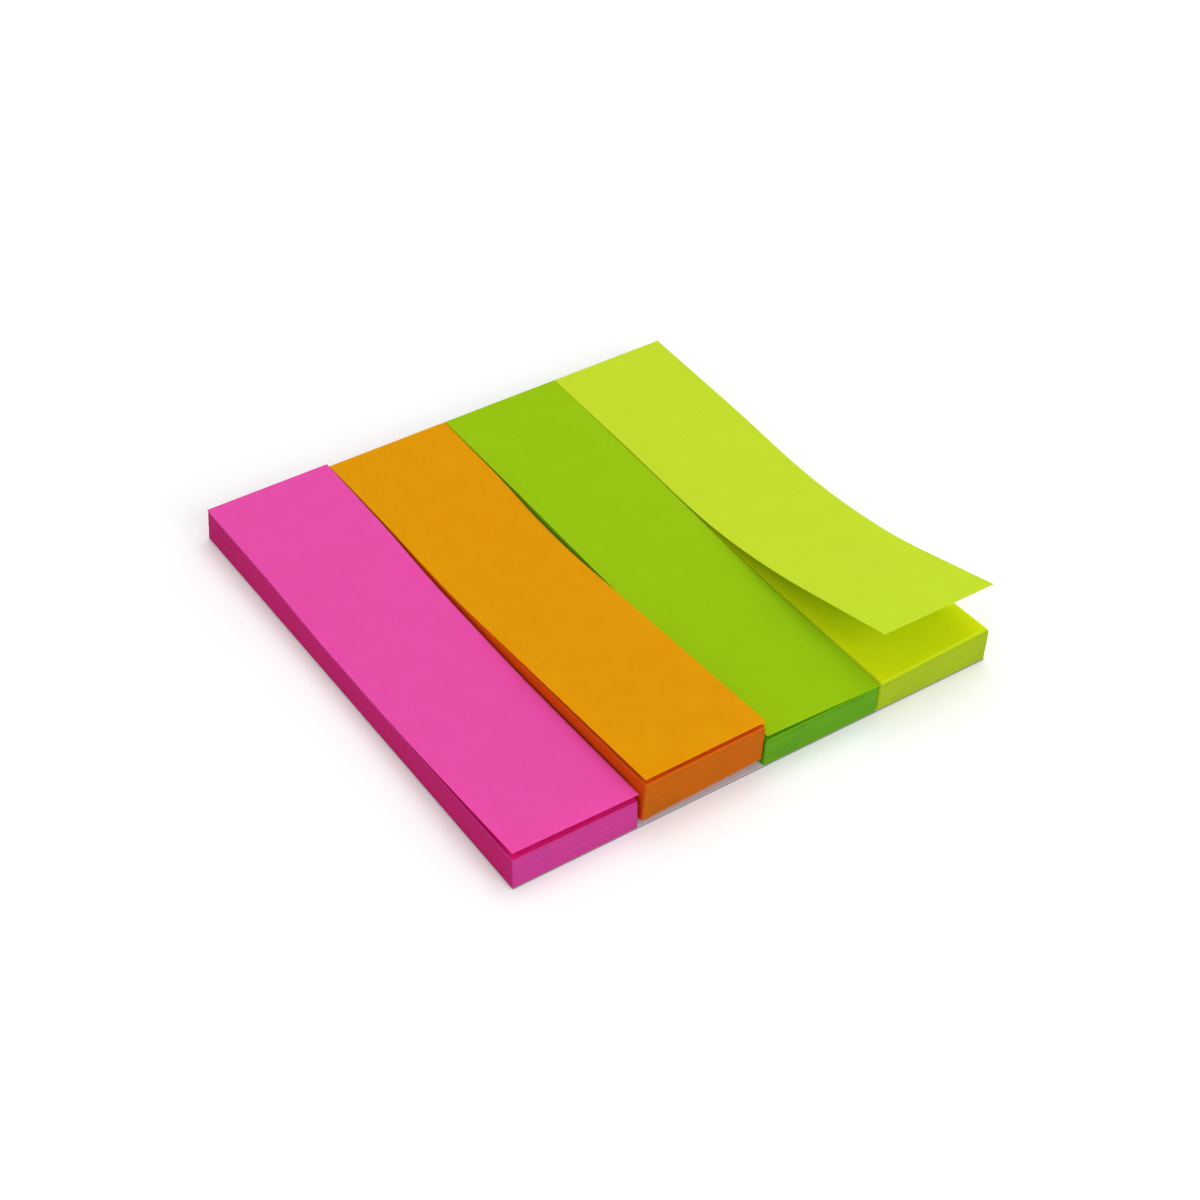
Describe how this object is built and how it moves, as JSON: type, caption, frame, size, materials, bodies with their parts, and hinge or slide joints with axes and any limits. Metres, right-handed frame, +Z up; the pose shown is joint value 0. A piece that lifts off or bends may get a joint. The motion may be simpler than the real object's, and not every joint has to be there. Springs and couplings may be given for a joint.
{
  "type": "sticky notes",
  "caption": "Narrow sticky-note pads in neon colours, side by side on one thin backing sheet, with the last pad's top note curling up at its free end.",
  "frame": {"origin": "middle of the underside of the backing sheet, where the set rests", "axes": "+X along the row of pads from the pink to the yellow one, +Y to the glued ends, +Z up from the surface that the set lies on"},
  "size_m": [0.0772, 0.0766, 0.0137],
  "materials": {
    "pink_paper": "matt uncoated paper, dyed neon pink",
    "orange_paper": "matt uncoated paper, dyed neon orange",
    "green_paper": "matt uncoated paper, dyed neon green",
    "yellow_paper": "matt uncoated paper, dyed neon yellow",
    "backing_card": "thin smooth white card"
  },
  "bodies": {
    "root": {"backing_sheet": "backing_card", "pink_pad": "pink_paper", "pink_top_sheet": "pink_paper", "orange_pad": "orange_paper", "orange_top_sheet": "orange_paper", "green_pad": "green_paper", "green_top_sheet": "green_paper", "yellow_pad": "yellow_paper", "yellow_top_sheet": "yellow_paper"}
  },
  "joints": []
}
